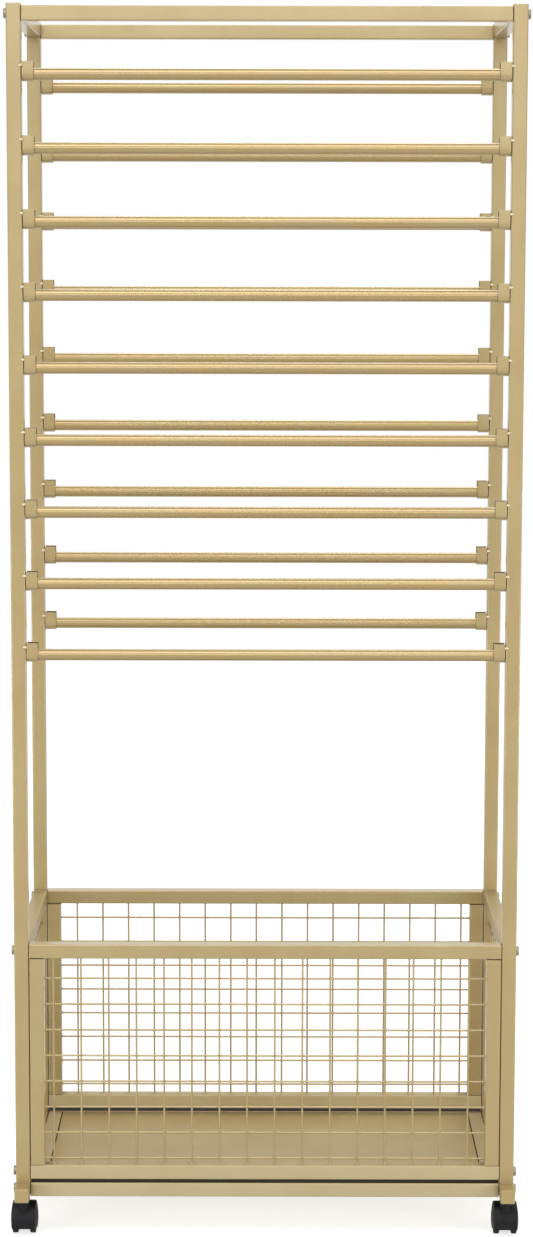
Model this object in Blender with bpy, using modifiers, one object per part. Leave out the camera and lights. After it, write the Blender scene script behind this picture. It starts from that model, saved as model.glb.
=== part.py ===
"""Gift wrap organizer: a rolling frame of square tube with lift-out rods above a wire basket.

Lengths are in metres. +X is the right side seen from the front, -Y is the front, and the
wheels stand on Z = 0, with the middle of the footprint at the origin.
"""

import math

import bmesh
import bpy
from mathutils import Matrix, Vector

# Square tube of the frame
tube_side = 0.016
tube_wall = 0.0008
tube_corner_radius = 0.0015
tube_corner_steps = 2
end_plate_thickness = 0.0012

# Frame over its posts
frame_width = 0.555
frame_depth = 0.290
frame_height = 1.355
foot_overhang = 0.024
top_crossbar_drop = 0.0025
side_gap = 0.0008

# Clearances
seat_gap = 0.0003
turning_clearance = 0.0004
cut_overrun = 0.002
weld_distance = 0.00001

# Ribbon rods and their saddles
rods_per_side = 9
rod_diameter = 0.0127
rod_wall = 0.0008
rod_steps = 12
top_rod_drop = 0.074
rod_pitch = 0.0781
saddle_length = 0.013
saddle_wall = 0.0012
saddle_rise = 0.0132
saddle_arc_steps = 6

# Basket panels and floor
basket_top_height = 0.334
basket_bottom_height = 0.0665
wire_diameter = 0.0022
panel_upright_wires = 16
panel_level_wires = 8
side_upright_wires = 8
panel_first_wire_inset = 0.0101
panel_last_wire_inset = 0.01925
panel_mesh_margins = 0.0302
front_mesh_drop = 0.0241
rear_mesh_drop = 0.0183
sheet_thickness = 0.0008
sheet_drop = 0.0005
sheet_flange_depth = 0.010
sheet_edge_gap = 0.0005

# Casters
caster_height = 0.0465
wheel_diameter = 0.0342
wheel_bore_depth = 0.0058
wheel_tread_width = 0.0060
wheel_edge_round = 0.0006
wheel_cap_round = 0.0009
wheel_steps = 16
axle_diameter = 0.004
axle_steps = 8
axle_end_gap = 0.0006
web_thickness = 0.0124
web_side_gap = 0.0006
hood_radius = 0.0193
hood_wall = 0.0016
hood_width = 0.0305
hood_steps = 16
hood_opening_radius = 0.0118
hood_front_edge_height = 0.0087
hood_rear_edge_height = 0.0255
web_rear_reach = 0.0150
cheek_cut_start = 0.0015
cheek_edge_step = 0.0004
caster_trail = 0.009
stem_diameter = 0.007
stem_steps = 8
stem_rise = 0.012
stem_depth = 0.0205
flange_diameter = 0.015
flange_thickness = 0.0016
boss_diameter = 0.0136
boss_steps = 10

# Levels and places that follow from the sizes above
half_tube = tube_side / 2
post_x = frame_width / 2 - half_tube
post_y = frame_depth / 2 - half_tube
foot_top_height = caster_height + tube_side
top_rod_height = frame_height - top_rod_drop
foot_length = frame_depth + 2 * foot_overhang
inside_width = frame_width - 2 * tube_side
inside_depth = frame_depth - 2 * tube_side
panel_width = inside_width - 2 * side_gap
basket_height = basket_top_height - basket_bottom_height
panel_mesh_width = panel_width - 2 * tube_side - panel_first_wire_inset - panel_last_wire_inset
panel_mesh_height = basket_height - 2 * tube_side - panel_mesh_margins
wire_pitch_across = panel_mesh_width / (panel_upright_wires - 1)
wire_pitch_down = panel_mesh_height / (panel_level_wires - 1)
side_wire_pitch = inside_depth / side_upright_wires
sheet_top_height = foot_top_height - sheet_drop
wheel_radius = wheel_diameter / 2
hood_inner_radius = hood_radius - hood_wall
wheel_inner_x = web_thickness / 2 + web_side_gap

# Finishes: colour, roughness, metallic
finishes = {
    "gold_coat": ((0.56, 0.43, 0.22), 0.38, 0.75),
    "charcoal_plastic": ((0.035, 0.035, 0.04), 0.55, 0.0),
    "black_tyre": ((0.02, 0.02, 0.022), 0.7, 0.0),
    "zinc_steel": ((0.55, 0.55, 0.54), 0.35, 0.9),
}

sides = {"left": -1, "right": 1}
faces = {"front": -1, "rear": 1}


def clear_scene():
    """Remove what the start-up scene holds."""
    for thing in list(bpy.data.objects):
        bpy.data.objects.remove(thing)


def new_collection(name):
    collection = bpy.data.collections.new(name)
    bpy.context.scene.collection.children.link(collection)
    return collection


def make_material(part_name, finish):
    """A part's own Principled material in one of the finishes."""
    colour, roughness, metallic = finishes[finish]
    material = bpy.data.materials.new(part_name + "_" + finish)
    material.use_nodes = True
    shader = material.node_tree.nodes["Principled BSDF"]
    shader.inputs["Base Color"].default_value = (*colour, 1)
    shader.inputs["Roughness"].default_value = roughness
    shader.inputs["Metallic"].default_value = metallic
    return material


def new_object(name, mesh):
    thing = bpy.data.objects.new(name, mesh)
    workshop.objects.link(thing)
    return thing


def finish_part(thing, name, finish, location=(0, 0, 0), turn=None, parent=None):
    """Name a shape as a part of the product, colour it and put it in its place."""
    workshop.objects.unlink(thing)
    product.objects.link(thing)
    thing.name = name
    thing.data.materials.clear()
    thing.data.materials.append(make_material(name, finish))
    thing.location = location
    if turn is not None:
        thing.rotation_euler = turn
    if parent is not None:
        thing.parent = parent
    return thing


def copy_of(thing):
    """A second shape with a mesh of its own."""
    twin = thing.copy()
    twin.data = thing.data.copy()
    workshop.objects.link(twin)
    return twin


def remove(thing):
    bpy.data.objects.remove(thing)


def bake(thing):
    """Replace a shape by what its modifiers make of it."""
    bpy.context.view_layer.update()
    evaluated = thing.evaluated_get(bpy.context.evaluated_depsgraph_get())
    thing.data = bpy.data.meshes.new_from_object(evaluated)
    thing.modifiers.clear()
    return thing


def clean(thing):
    """Weld loose seams and point every face outward."""
    shape = bmesh.new()
    shape.from_mesh(thing.data)
    bmesh.ops.remove_doubles(shape, verts=shape.verts, dist=weld_distance)
    bmesh.ops.recalc_face_normals(shape, faces=shape.faces)
    shape.to_mesh(thing.data)
    shape.free()
    return thing


def settle(thing):
    """Move a shape's place and turn into its mesh."""
    thing.data.transform(thing.matrix_basis)
    thing.matrix_basis = Matrix.Identity(4)
    return thing


def boolean(body, tool, operation):
    """Join, cut or trim a body with a tool, which is used up."""
    modifier = body.modifiers.new(operation, "BOOLEAN")
    modifier.operation = operation
    modifier.object = tool
    tool.display_type = "WIRE"
    tool.hide_render = True
    bake(body)
    remove(tool)
    return body


def doubled(thing):
    """Keep the half at +X and mirror it to the other side."""
    mirror = thing.modifiers.new("Mirror", "MIRROR")
    mirror.use_axis = (True, False, False)
    mirror.use_bisect_axis = (True, False, False)
    mirror.merge_threshold = weld_distance
    return clean(bake(thing))


def join(bodies):
    """One shape that holds several, still as separate bodies."""
    joined = bmesh.new()
    for body in bodies:
        settle(body)
        joined.from_mesh(body.data)
    mesh = bpy.data.meshes.new("joined")
    joined.to_mesh(mesh)
    joined.free()
    for body in bodies:
        remove(body)
    return new_object("joined", mesh)


def box(size, centre=(0, 0, 0)):
    """A plain block."""
    shape = bmesh.new()
    place = Matrix.Translation(centre) @ Matrix.Diagonal((*size, 1))
    bmesh.ops.create_cube(shape, size=1, matrix=place)
    mesh = bpy.data.meshes.new("box")
    shape.to_mesh(mesh)
    shape.free()
    return new_object("box", mesh)


def cylinder(diameter, length, steps, centre=(0, 0, 0), axis="Z", twist=0):
    """A closed cylinder along one axis, turned about that axis by a twist."""
    shape = bmesh.new()
    turns = {"X": Matrix.Rotation(math.pi / 2, 4, "Y"), "Z": Matrix.Identity(4)}
    bmesh.ops.create_cone(
        shape,
        cap_ends=True,
        segments=steps,
        radius1=diameter / 2,
        radius2=diameter / 2,
        depth=length,
        matrix=Matrix.Translation(centre) @ turns[axis] @ Matrix.Rotation(twist, 4, "Z"),
    )
    mesh = bpy.data.meshes.new("cylinder")
    shape.to_mesh(mesh)
    shape.free()
    return new_object("cylinder", mesh)


def arc(centre_x, centre_y, radius, start, end, steps):
    """Points along an arc, angles in degrees."""
    points = []
    for step in range(steps + 1):
        angle = math.radians(start + (end - start) * step / steps)
        points.append((centre_x + radius * math.cos(angle), centre_y + radius * math.sin(angle)))
    return points


def rounded_square(side):
    """Outline of a square with rounded corners."""
    inset = side / 2 - tube_corner_radius
    corners = [(inset, inset, 0), (-inset, inset, 90), (-inset, -inset, 180), (inset, -inset, 270)]
    outline = []
    for x, y, start in corners:
        outline += arc(x, y, tube_corner_radius, start, start + 90, tube_corner_steps)
    return outline


def plain_square(side):
    half = side / 2
    return [(half, half), (-half, half), (-half, -half), (half, -half)]


def circle(diameter, steps):
    return arc(0, 0, diameter / 2, 0, 360, steps)[:-1]


def extrusion(outlines, length, rounding=0):
    """A bar along Z of a flat outline. Outlines after the first are holes."""
    curve = bpy.data.curves.new("outline", "CURVE")
    curve.dimensions = "2D"
    curve.fill_mode = "BOTH"
    curve.extrude = length / 2 - rounding
    curve.bevel_depth = rounding
    curve.bevel_resolution = 1
    curve.offset = -rounding
    for outline in outlines:
        spline = curve.splines.new("POLY")
        spline.points.add(len(outline) - 1)
        for point, (x, y) in zip(spline.points, outline):
            point.co = (x, y, 0, 1)
        spline.use_cyclic_u = True
    guide = bpy.data.objects.new("outline", curve)
    workshop.objects.link(guide)
    bpy.context.view_layer.update()
    evaluated = guide.evaluated_get(bpy.context.evaluated_depsgraph_get())
    bar = new_object("extrusion", bpy.data.meshes.new_from_object(evaluated))
    remove(guide)
    return clean(bar)


def turned(profile, steps, axis="Z"):
    """A solid turned about an axis from a profile whose ends lie on that axis."""
    shape = bmesh.new()
    points = []
    for radius, height in profile:
        place = (radius, 0, height) if axis == "Z" else (height, 0, radius)
        points.append(shape.verts.new(place))
    for first, second in zip(points, points[1:]):
        shape.edges.new((first, second))
    mesh = bpy.data.meshes.new("profile")
    shape.to_mesh(mesh)
    shape.free()
    solid = new_object("turned", mesh)
    screw = solid.modifiers.new("Turn", "SCREW")
    screw.axis = axis
    screw.steps = steps
    screw.render_steps = steps
    screw.use_merge_vertices = True
    screw.merge_threshold = weld_distance
    return clean(bake(solid))


def hollow_tube(length):
    """Square tube along Z, open at both ends."""
    return extrusion([rounded_square(tube_side), plain_square(tube_side - 2 * tube_wall)], length)


def end_plate():
    """The welded plate that closes a square tube, sunk halfway into the tube's walls."""
    return box((tube_side - tube_wall, tube_side - tube_wall, end_plate_thickness))


along_x = (0, math.pi / 2, 0)
along_y = (math.pi / 2, 0, 0)

# Turns an outline drawn in X and Y into one seen along +X, with its X as Y and its Y as Z
stand_along_x = Matrix.Rotation(math.pi / 2, 4, "Z") @ Matrix.Rotation(math.pi / 2, 4, "X")


def saddle():
    """A bent strip, open at the top, that a rod lies in. The rod's axis is the origin, along Z."""
    inner_radius = rod_diameter / 2 + seat_gap
    outer_radius = inner_radius + saddle_wall
    outline = [(-outer_radius, saddle_rise)]
    outline += arc(0, 0, outer_radius, 180, 360, saddle_arc_steps)
    outline += [(outer_radius, saddle_rise), (inner_radius, saddle_rise)]
    outline += arc(0, 0, inner_radius, 360, 180, saddle_arc_steps)
    outline += [(-inner_radius, saddle_rise)]
    sunk = tube_wall + tube_corner_radius
    strip = extrusion([outline], saddle_length + sunk)
    strip.data.transform(Matrix.Translation((0, 0, (saddle_length - sunk) / 2)))
    return strip


def saddle_stack():
    """All saddles of one post, reaching out along +X from the post's inner face."""
    strip = saddle()
    strip.data.transform(stand_along_x)
    stack = []
    for row in range(rods_per_side):
        copy = copy_of(strip)
        copy.location = (half_tube, 0, top_rod_height - row * rod_pitch)
        stack.append(copy)
    remove(strip)
    return join(stack)


def make_posts():
    """Four posts, closed at the top, each with its saddles welded to its inner face."""
    length = frame_height - foot_top_height - seat_gap
    post = extrusion([rounded_square(tube_side)], length)
    post.location.z = frame_height - length / 2
    post = boolean(settle(post), saddle_stack(), "UNION")
    bore_side = tube_side - 2 * tube_wall
    bore = box((bore_side, bore_side, length))
    bore.location.z = frame_height - end_plate_thickness - length / 2
    post = boolean(post, settle(bore), "DIFFERENCE")
    mirrored = copy_of(post)
    mirrored.data.transform(Matrix.Diagonal((-1, 1, 1, 1)))
    mirrored.data.flip_normals()
    for side, x_sign in sides.items():
        for face, y_sign in faces.items():
            source = post if side == "left" else mirrored
            name = "post_" + face + "_" + side
            finish_part(copy_of(source), name, "gold_coat", (x_sign * post_x, y_sign * post_y, 0))
    remove(post)
    remove(mirrored)


def make_side_rails():
    """Tubes from front post to rear post: one level with the post tops, one with the basket."""
    levels = {
        "top_side_rail_": frame_height - half_tube,
        "middle_side_rail_": basket_top_height - half_tube,
    }
    for name, height in levels.items():
        for side, x_sign in sides.items():
            rail = hollow_tube(inside_depth - 2 * seat_gap)
            finish_part(rail, name + side, "gold_coat", (x_sign * post_x, 0, height), along_y)


def make_foot_tubes():
    """Closed tubes under the posts, drilled below for the caster stems."""
    for side, x_sign in sides.items():
        foot = hollow_tube(foot_length)
        for end in faces.values():
            plate = end_plate()
            plate.location.z = end * (foot_length - end_plate_thickness) / 2
            foot = boolean(foot, settle(plate), "UNION")
        foot.rotation_euler = along_y
        settle(foot)
        for end in faces.values():
            hole_diameter = stem_diameter + 2 * turning_clearance
            place = (0, end * post_y, -half_tube)
            drill = cylinder(hole_diameter, 2 * cut_overrun, stem_steps, place)
            foot = boolean(foot, drill, "DIFFERENCE")
        height = caster_height + half_tube
        finish_part(foot, "foot_tube_" + side, "gold_coat", (x_sign * post_x, 0, height))


def make_top_crossbars():
    """Front and rear tubes bolted between the side frames, just under the post tops."""
    height = frame_height - top_crossbar_drop - half_tube
    for face, y_sign in faces.items():
        bar = hollow_tube(panel_width)
        finish_part(bar, "top_crossbar_" + face, "gold_coat", (0, y_sign * post_y, height), along_x)


def rectangle(width, height):
    half_width = width / 2
    half_height = height / 2
    upper = [(half_width, half_height), (-half_width, half_height)]
    return upper + [(-half_width, -half_height), (half_width, -half_height)]


def welded_frame(width, height, wires=None):
    """A flat frame of square tube in the XY plane, with its wires if it has any.

    The bore runs round the whole frame, and each rail has an opening at both of its ends.
    """
    inside = rectangle(width - 2 * tube_side, height - 2 * tube_side)
    body = extrusion([rectangle(width, height), inside], tube_side, tube_corner_radius)
    if wires is not None:
        body = boolean(body, wires, "UNION")
    bore_outside = rectangle(width - 2 * tube_wall, height - 2 * tube_wall)
    far_wall = 2 * (tube_side - tube_wall)
    bore_inside = rectangle(width - far_wall, height - far_wall)
    bore = extrusion([bore_outside, bore_inside], tube_side - 2 * tube_wall)
    body = boolean(body, bore, "DIFFERENCE")
    mouth_side = tube_side - 2 * (tube_wall + tube_corner_radius)
    for end in (-1, 1):
        rail_centre = (0, end * (height - tube_side) / 2, 0)
        mouths = box((width + 2 * cut_overrun, mouth_side, mouth_side), rail_centre)
        body = boolean(body, mouths, "DIFFERENCE")
    return body


def wire_lattice(columns, rows):
    """Welded wires in the XY plane, one line of wire at each column and each row."""
    shape = bmesh.new()
    bmesh.ops.create_grid(shape, x_segments=len(columns) - 1, y_segments=len(rows) - 1, size=1)
    for vertex in shape.verts:
        column = round((vertex.co.x + 1) / 2 * (len(columns) - 1))
        row = round((vertex.co.y + 1) / 2 * (len(rows) - 1))
        vertex.co = Vector((columns[column], rows[row], 0))
    mesh = bpy.data.meshes.new("lattice")
    shape.to_mesh(mesh)
    shape.free()
    lattice = new_object("lattice", mesh)
    wire = lattice.modifiers.new("Wire", "WIREFRAME")
    wire.thickness = wire_diameter
    wire.use_boundary = True
    return clean(bake(lattice))


def wire_lines(first, pitch, count, low_edge, high_edge):
    """Places of parallel wires, with the two edges where the wires end."""
    return [low_edge] + [first + pitch * number for number in range(count)] + [high_edge]


def make_basket_panels():
    """Front panel, and the rear one, which is the same panel turned round."""
    rail_centre = (basket_height - tube_side) / 2
    stile_centre = (panel_width - tube_side) / 2
    drops = {"front": front_mesh_drop, "rear": rear_mesh_drop}
    for face, y_sign in faces.items():
        first = -panel_width / 2 + tube_side + panel_first_wire_inset
        columns = wire_lines(first, wire_pitch_across, panel_upright_wires, -stile_centre, stile_centre)
        top_row = basket_height / 2 - tube_side - drops[face]
        first_row = top_row - wire_pitch_down * (panel_level_wires - 1)
        rows = wire_lines(first_row, wire_pitch_down, panel_level_wires, -rail_centre, rail_centre)
        panel = welded_frame(panel_width, basket_height, wire_lattice(columns, rows))
        panel.data.transform(Matrix.Rotation(math.pi / 2, 4, "X"))
        height = basket_bottom_height + basket_height / 2
        turn = (0, 0, 0 if face == "front" else math.pi)
        place = (0, y_sign * post_y, height)
        finish_part(panel, "basket_panel_" + face, "gold_coat", place, turn)


def make_side_meshes():
    """Wires that close the left and right sides, from post to post and foot tube to rail."""
    opening_top = basket_top_height - tube_side
    opening_height = opening_top - foot_top_height
    half_height = opening_height / 2
    end_column = inside_depth / 2 + cut_overrun
    first_column = -side_wire_pitch * (side_upright_wires - 1) / 2
    columns = wire_lines(first_column, side_wire_pitch, side_upright_wires, -end_column, end_column)
    end_row = half_height + cut_overrun
    first_row = half_height - front_mesh_drop - wire_pitch_down * (panel_level_wires - 1)
    rows = wire_lines(first_row, wire_pitch_down, panel_level_wires, -end_row, end_row)
    lattice = wire_lattice(columns, rows)
    trim = box((inside_depth - 2 * seat_gap, opening_height - 2 * seat_gap, tube_side))
    lattice = boolean(lattice, trim, "INTERSECT")
    lattice.data.transform(stand_along_x)
    for side, x_sign in sides.items():
        place = (x_sign * post_x, 0, foot_top_height + half_height)
        finish_part(copy_of(lattice), "side_mesh_" + side, "gold_coat", place)
    remove(lattice)


def make_floor():
    """Tube frame between the foot tubes, and the sheet with turned-down edges set in it."""
    frame = welded_frame(panel_width, frame_depth)
    finish_part(frame, "floor_frame", "gold_coat", (0, 0, caster_height + half_tube))
    width = panel_width - 2 * (tube_side + sheet_edge_gap)
    depth = frame_depth - 2 * (tube_side + sheet_edge_gap)
    tray = box((width, depth, sheet_flange_depth), (0, 0, -sheet_flange_depth / 2))
    inner_width = width - 2 * sheet_thickness
    inner_depth = depth - 2 * sheet_thickness
    hollow = box(
        (inner_width, inner_depth, sheet_flange_depth),
        (0, 0, -sheet_thickness - sheet_flange_depth / 2),
    )
    tray = boolean(tray, hollow, "DIFFERENCE")
    finish_part(tray, "floor_sheet", "gold_coat", (0, 0, sheet_top_height))


def make_rods():
    """Round tubes that lie in the saddles, and lift out of them."""
    outlines = [circle(rod_diameter, rod_steps), circle(rod_diameter - 2 * rod_wall, rod_steps)]
    rod = extrusion(outlines, panel_width)
    for face, y_sign in faces.items():
        for row in range(rods_per_side):
            name = "rod_" + face + "_" + str(row + 1)
            place = (0, y_sign * post_y, top_rod_height - row * rod_pitch)
            finish_part(copy_of(rod), name, "gold_coat", place, along_x)
    remove(rod)


def caster_stem():
    """Pin with a flange. Its upper end goes into the foot tube and its lower end into the hood."""
    top = caster_height + stem_rise
    flange_top = caster_height - seat_gap
    flange_bottom = flange_top - flange_thickness
    bottom = flange_bottom - stem_depth
    pin = stem_diameter / 2
    flange = flange_diameter / 2
    profile = [(0, top), (pin, top), (pin, flange_top), (flange, flange_top)]
    profile += [(flange, flange_bottom), (pin, flange_bottom), (pin, bottom), (0, bottom)]
    return turned(profile, stem_steps)


def hood_outline():
    """Half profile of the barrel-shaped hood about the wheel axis, from its left to its right face."""
    half = hood_width / 2
    crown_width_share = 0.82
    shoulder_width_share, shoulder_radius_share = 0.94, 0.88
    end_radius_share = 0.50
    right = [
        (hood_radius, crown_width_share * half),
        (shoulder_radius_share * hood_radius, shoulder_width_share * half),
        (end_radius_share * hood_radius, half),
        (0, half),
    ]
    left = [(radius, -x) for radius, x in reversed(right)]
    return left + right


def wheel_room_outline():
    """Room for one wheel seen along the axle, which is the origin: round in front, open behind."""
    edge_height = hood_rear_edge_height - wheel_radius
    start = math.degrees(math.asin(edge_height / hood_inner_radius))
    outline = arc(0, 0, hood_inner_radius, start, 270, hood_steps)
    far = hood_radius + cut_overrun
    return outline + [(far, -hood_inner_radius), (far, edge_height)]


def caster_body():
    """Barrel hood with a middle web, hollowed for the two wheels. The swivel axis is the Z axis.

    The room for the right wheel is cut first, and the whole is then made twice about X = 0.
    """
    body = turned(hood_outline(), hood_steps, "X")
    body.location = (0, caster_trail, wheel_radius)
    settle(body)
    boss_top = caster_height - 2 * seat_gap - flange_thickness
    boss_height = boss_top - wheel_radius
    boss_centre = (0, 0, boss_top - boss_height / 2)
    body = boolean(body, cylinder(boss_diameter, boss_height, boss_steps, boss_centre), "UNION")
    room_depth = web_side_gap + wheel_tread_width + turning_clearance
    room_x = (web_thickness + room_depth) / 2
    room = extrusion([wheel_room_outline()], room_depth)
    room.data.transform(stand_along_x)
    room.location = (room_x, caster_trail, wheel_radius)
    body = boolean(body, room, "DIFFERENCE")
    cheek_x = room_x + room_depth / 2
    cheek_hub = (cheek_x, caster_trail, wheel_radius)
    half_step = math.pi / hood_steps
    window = cylinder(2 * hood_opening_radius, room_depth, hood_steps, cheek_hub, "X", half_step)
    body = boolean(body, window, "DIFFERENCE")
    cheek_size = (room_depth, hood_radius + cut_overrun, hood_rear_edge_height + cut_overrun)
    cheek_centre = (
        cheek_x,
        caster_trail + cheek_cut_start + cheek_size[1] / 2,
        hood_rear_edge_height - cheek_edge_step - cheek_size[2] / 2,
    )
    body = boolean(body, box(cheek_size, cheek_centre), "DIFFERENCE")
    foot_cut_height = hood_front_edge_height + hood_radius - wheel_radius + cut_overrun
    foot_cut = box(
        (hood_width + cut_overrun, 2 * hood_radius + 2 * cut_overrun, foot_cut_height),
        (0, caster_trail, hood_front_edge_height - foot_cut_height / 2),
    )
    body = boolean(body, foot_cut, "DIFFERENCE")
    tail_depth = hood_radius - web_rear_reach + cut_overrun
    tail = box(
        (web_thickness + cut_overrun, tail_depth, wheel_radius),
        (0, caster_trail + web_rear_reach + tail_depth / 2, wheel_radius),
    )
    body = boolean(body, tail, "DIFFERENCE")
    bore_depth = flange_thickness + seat_gap + stem_depth + turning_clearance
    bore_bottom = caster_height - seat_gap - bore_depth
    bore_height = caster_height - bore_bottom
    bore_centre = (0, 0, bore_bottom + bore_height / 2)
    bore = cylinder(stem_diameter + 2 * turning_clearance, bore_height, stem_steps, bore_centre)
    body = boolean(body, bore, "DIFFERENCE")
    axle_hole = cylinder(
        axle_diameter + 2 * turning_clearance,
        web_thickness + 2 * cut_overrun,
        axle_steps,
        (0, caster_trail, wheel_radius),
        "X",
    )
    return doubled(boolean(body, axle_hole, "DIFFERENCE"))


def caster_wheel():
    """Wheel with a domed cap toward +X, which fills the hood's window, and a blind bore along X."""
    bore_radius = axle_diameter / 2 + turning_clearance
    inner = wheel_inner_x
    tread_end = inner + wheel_tread_width
    dome = hood_width / 2
    cap_radius = hood_opening_radius - turning_clearance
    profile = [
        (0, dome),
        (cap_radius, dome - wheel_cap_round),
        (cap_radius, tread_end),
        (wheel_radius - wheel_edge_round, tread_end),
        (wheel_radius, tread_end - wheel_edge_round),
        (wheel_radius, inner),
        (bore_radius, inner),
        (bore_radius, inner + wheel_bore_depth),
        (0, inner + wheel_bore_depth),
    ]
    return turned(profile, wheel_steps, "X")


def make_casters():
    """Four twin-wheel casters. Each turns about its stem, which stays in the foot tube."""
    stem = caster_stem()
    body = caster_body()
    wheel = caster_wheel()
    axle_length = 2 * (wheel_inner_x + wheel_bore_depth - axle_end_gap)
    axle = cylinder(axle_diameter, axle_length, axle_steps, (0, 0, 0), "X")
    for side, x_sign in sides.items():
        for face, y_sign in faces.items():
            place = face + "_" + side
            swivel = bpy.data.objects.new("swivel_" + place, None)
            product.objects.link(swivel)
            swivel.location = (x_sign * post_x, y_sign * post_y, 0)
            swivel.rotation_euler.z = 0 if face == "front" else math.pi
            finish_part(copy_of(stem), "caster_stem_" + place, "zinc_steel", parent=swivel)
            finish_part(copy_of(body), "caster_body_" + place, "charcoal_plastic", parent=swivel)
            hub = (0, caster_trail, wheel_radius)
            finish_part(copy_of(axle), "caster_axle_" + place, "zinc_steel", hub, parent=swivel)
            for wheel_side, wheel_sign in sides.items():
                turn = (0, 0, 0 if wheel_sign * math.cos(swivel.rotation_euler.z) > 0 else math.pi)
                name = "caster_wheel_" + place + "_" + wheel_side
                finish_part(copy_of(wheel), name, "black_tyre", hub, turn, swivel)
    for pattern in (stem, body, wheel, axle):
        remove(pattern)


def smooth_round_pieces():
    """Smooth shading for the turned and round pieces."""
    for part in product.objects:
        if part.type == "MESH" and part.name.startswith(("rod_", "caster_")):
            part.data.shade_smooth()
            part.data.set_sharp_from_angle(angle=math.radians(35))


clear_scene()
product = new_collection("gift_wrap_organizer")
workshop = new_collection("cutters")
make_posts()
make_side_rails()
make_foot_tubes()
make_top_crossbars()
make_basket_panels()
make_side_meshes()
make_floor()
make_rods()
make_casters()
smooth_round_pieces()
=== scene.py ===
import math

import bmesh
import bpy
from mathutils import Matrix, Vector


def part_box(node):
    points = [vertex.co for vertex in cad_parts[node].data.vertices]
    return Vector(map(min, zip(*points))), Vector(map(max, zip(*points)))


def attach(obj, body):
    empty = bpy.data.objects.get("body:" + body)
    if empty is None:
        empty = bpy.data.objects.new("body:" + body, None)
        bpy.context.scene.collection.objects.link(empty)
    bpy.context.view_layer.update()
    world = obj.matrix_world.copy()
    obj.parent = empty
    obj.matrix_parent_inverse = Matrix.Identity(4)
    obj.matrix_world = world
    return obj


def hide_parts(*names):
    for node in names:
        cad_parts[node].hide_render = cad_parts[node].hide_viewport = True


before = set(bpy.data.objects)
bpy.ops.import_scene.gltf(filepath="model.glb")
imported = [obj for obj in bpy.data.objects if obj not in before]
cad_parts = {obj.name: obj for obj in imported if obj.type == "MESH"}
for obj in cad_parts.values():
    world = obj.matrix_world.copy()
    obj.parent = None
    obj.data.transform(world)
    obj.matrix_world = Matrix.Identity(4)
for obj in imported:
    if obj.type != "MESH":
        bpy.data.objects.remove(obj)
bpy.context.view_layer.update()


# Posts: four uprights of 16 mm square steel tube with rounded corners, standing on the foot tubes.
# A plate is welded into each upper end and ground round. The frame is welded first and then
# powder coated in satin gold, so every seam and weld carries the same coat.
tube_half = 0.008
tube_wall = 0.0008
corner_radius = 0.0015
corner_steps = 6
bore_corner = 0.0008
cut_edge = 0.0002
ground_edge = 0.0013
ground_steps = 4
smallest_corner = 0.0002
end_plate = 0.0012

gold = (0.446, 0.338, 0.142)
gold_deep = (0.412, 0.299, 0.117)
gold_flake = (0.500, 0.404, 0.205)
gold_roughness = (0.36, 0.48)
gold_metallic = 0.42
orange_peel_scale = 900
orange_peel = 0.22
orange_peel_depth = 0.00006
# Painted shade: an occlusion mask darkens each coat toward this colour in crevices, corners and gaps
# between parts.
painted_shade_gold = (0.040, 0.025, 0.007)
painted_shade_reach = 0.005
painted_shade_range = (0.32, 0.80)
painted_shade_samples = 8
flake_scale = 3800
flake_range = (0.54, 0.74)
tone_scale = 14
tone_range = (0.35, 0.65)
fine_range = (0.3, 0.7)
clear_layer = 0.9
clear_roughness = 0.20


def socket_values(node, values):
    """Set a node's sockets by name."""
    for name, value in values.items():
        node.inputs[name].default_value = value
    return node


def grain(tree, place, scale, detail):
    """Noise in the piece's own metres."""
    noise = tree.nodes.new("ShaderNodeTexNoise")
    tree.links.new(place.outputs["Object"], noise.inputs["Vector"])
    return socket_values(noise, {"Scale": scale, "Detail": detail})


def blend_colours(tree, factor, first, second):
    """Mix two colours by a noise. Either may be a colour or the output of another mix."""
    mix = tree.nodes.new("ShaderNodeMix")
    mix.data_type = "RGBA"
    tree.links.new(factor, mix.inputs[0])
    for socket, colour in ((mix.inputs[6], first), (mix.inputs[7], second)):
        if isinstance(colour, tuple):
            socket.default_value = (*colour, 1)
        else:
            tree.links.new(colour, socket)
    return mix.outputs[2]


def spread(tree, value, low, high, out_low, out_high):
    """Stretch part of a noise's range over another range."""
    stretch = tree.nodes.new("ShaderNodeMapRange")
    tree.links.new(value, stretch.inputs["Value"])
    socket_values(stretch, {"From Min": low, "From Max": high, "To Min": out_low, "To Max": out_high})
    return stretch.outputs["Result"]


def new_finish(name):
    """A new material, with its shader and the piece's own place for the noises."""
    material = bpy.data.materials.new(name)
    material.use_nodes = True
    tree = material.node_tree
    return material, tree, tree.nodes["Principled BSDF"], tree.nodes.new("ShaderNodeTexCoord")


def surface(tree, shader, colour, fine, roughness, relief, strength, depth):
    """Give a finish its colour, its roughness from a fine noise and its relief from another."""
    tree.links.new(colour, shader.inputs["Base Color"])
    rough = spread(tree, fine.outputs["Fac"], *fine_range, *roughness)
    tree.links.new(rough, shader.inputs["Roughness"])
    bump = tree.nodes.new("ShaderNodeBump")
    socket_values(bump, {"Strength": strength, "Distance": depth})
    tree.links.new(relief.outputs["Fac"], bump.inputs["Height"])
    tree.links.new(bump.outputs["Normal"], shader.inputs["Normal"])


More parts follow.
